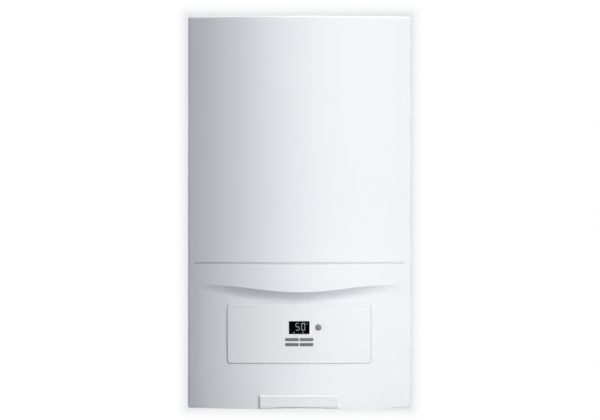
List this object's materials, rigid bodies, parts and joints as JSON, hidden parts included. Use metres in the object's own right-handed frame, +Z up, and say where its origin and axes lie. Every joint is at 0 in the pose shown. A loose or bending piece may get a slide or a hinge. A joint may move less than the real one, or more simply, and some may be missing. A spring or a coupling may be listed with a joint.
{
  "type": "gas boiler",
  "caption": "Wall-hung gas boiler with a bowed white front casing, a set-in control fascia with display and keys, and pipe and flue connections below and above.",
  "frame": {"origin": "middle of the wall bracket's screw line, in the plane of the wall", "axes": "+X to the right seen from the front, +Y into the wall, +Z up; the front faces -Y"},
  "size_m": [0.4, 0.3, 0.7095],
  "materials": {
    "white_enamel": "satin",
    "white_plastic": "satin",
    "grey_key": "satin",
    "display_glass": "gloss",
    "display_black": "matte",
    "galvanised": "satin",
    "steel": "polished",
    "seal_foam": "matte",
    "flue_plastic": "matte",
    "red_enamel": "satin",
    "cast_aluminium": "cast",
    "ceramic": "gloss",
    "black_plastic": "matte",
    "lead_rubber": "matte",
    "copper": "satin",
    "brass": "satin",
    "red_plastic": "gloss",
    "box_plastic": "matte",
    "board_green": "matte"
  },
  "bodies": {
    "chassis": {"left_side_panel": "white_enamel", "right_side_panel": "white_enamel", "top_panel": "white_enamel", "flue_adaptor": "white_plastic", "wall_bracket": "galvanised", "back_panel": "galvanised", "bottom_plate": "galvanised", "module_rail": "galvanised", "hinge_brackets": "galvanised", "hinge_pins": "steel", "panel_screws": "steel", "door_bolts": "steel", "plate_heat_exchanger": "steel", "burner": "steel", "front_seal": "seal_foam", "flue_pipe": "flue_plastic", "condensate_trap": "flue_plastic", "expansion_vessel": "red_enamel", "heat_exchanger_housing": "cast_aluminium", "heat_exchanger_coil": "cast_aluminium", "burner_door": "cast_aluminium", "fan_housing": "cast_aluminium", "gas_valve": "cast_aluminium", "ignition_electrodes": "ceramic", "ignition_transformer": "black_plastic", "fan_motor": "black_plastic", "venturi": "black_plastic", "air_intake_pipe": "black_plastic", "pump_motor": "black_plastic", "diverter_actuator": "black_plastic", "cable_glands": "black_plastic", "ignition_lead": "lead_rubber", "condensate_hose": "lead_rubber", "gas_pipe": "copper", "flow_pipe": "copper", "return_pipe": "copper", "heating_flow_stub": "copper", "heating_return_stub": "copper", "hot_water_pipe": "copper", "cold_water_pipe": "copper", "pump_body": "brass", "diverter_valve": "brass", "relief_valve": "brass"},
    "casing": {"front_casing": "white_enamel", "cover_plate": "white_plastic", "casing_screw": "steel"},
    "electronics": {"electronics_box": "box_plastic", "electronics_cover": "box_plastic", "control_board": "board_green", "control_fascia": "white_plastic", "display_window": "display_glass", "display_module": "display_black"},
    "upper_left": {"upper_left_key": "grey_key"},
    "upper_right": {"upper_right_key": "grey_key"},
    "lower_left": {"lower_left_key": "grey_key"},
    "lower_right": {"lower_right_key": "grey_key"},
    "reset": {"reset_button": "grey_key"},
    "fan_rotor": {"fan_impeller": "cast_aluminium"},
    "pump_rotor": {"pump_impeller": "black_plastic"},
    "relief_handle": {"relief_knob": "red_plastic"}
  },
  "joints": [
    {"name": "front_casing_off", "type": "slide", "parent": "chassis", "child": "casing", "axis": [0, -1, 0], "range_m": [0, 0.6]},
    {"name": "electronics_fold", "type": "hinge", "parent": "chassis", "child": "electronics", "pos_m": [0, -0.2589, -0.582], "axis": [1, 0, 0], "range_deg": [0, 90]},
    {"name": "upper_left_press", "type": "slide", "parent": "electronics", "child": "upper_left", "axis": [0, 1, 0], "range_m": [0, 0.0008], "stiffness_N_per_m": 1500},
    {"name": "upper_right_press", "type": "slide", "parent": "electronics", "child": "upper_right", "axis": [0, 1, 0], "range_m": [0, 0.0008], "stiffness_N_per_m": 1500},
    {"name": "lower_left_press", "type": "slide", "parent": "electronics", "child": "lower_left", "axis": [0, 1, 0], "range_m": [0, 0.0008], "stiffness_N_per_m": 1500},
    {"name": "lower_right_press", "type": "slide", "parent": "electronics", "child": "lower_right", "axis": [0, 1, 0], "range_m": [0, 0.0008], "stiffness_N_per_m": 1500},
    {"name": "reset_press", "type": "slide", "parent": "electronics", "child": "reset", "axis": [0, 1, 0], "range_m": [0, 0.0008], "stiffness_N_per_m": 1500},
    {"name": "fan_spin", "type": "hinge", "parent": "chassis", "child": "fan_rotor", "pos_m": [0.1245, -0.22, -0.21], "axis": [0, 1, 0], "continuous": true},
    {"name": "pump_spin", "type": "hinge", "parent": "chassis", "child": "pump_rotor", "pos_m": [0.1, -0.082, -0.51], "axis": [0, 1, 0], "continuous": true},
    {"name": "relief_knob_turn", "type": "hinge", "parent": "chassis", "child": "relief_handle", "pos_m": [-0.15, -0.082, -0.48], "axis": [0, 0, 1], "range_deg": [0, 90]}
  ],
  "couplings": [
    {"joint": "electronics_fold", "follows": "front_casing_off", "rad_per_m": 2.617}
  ]
}
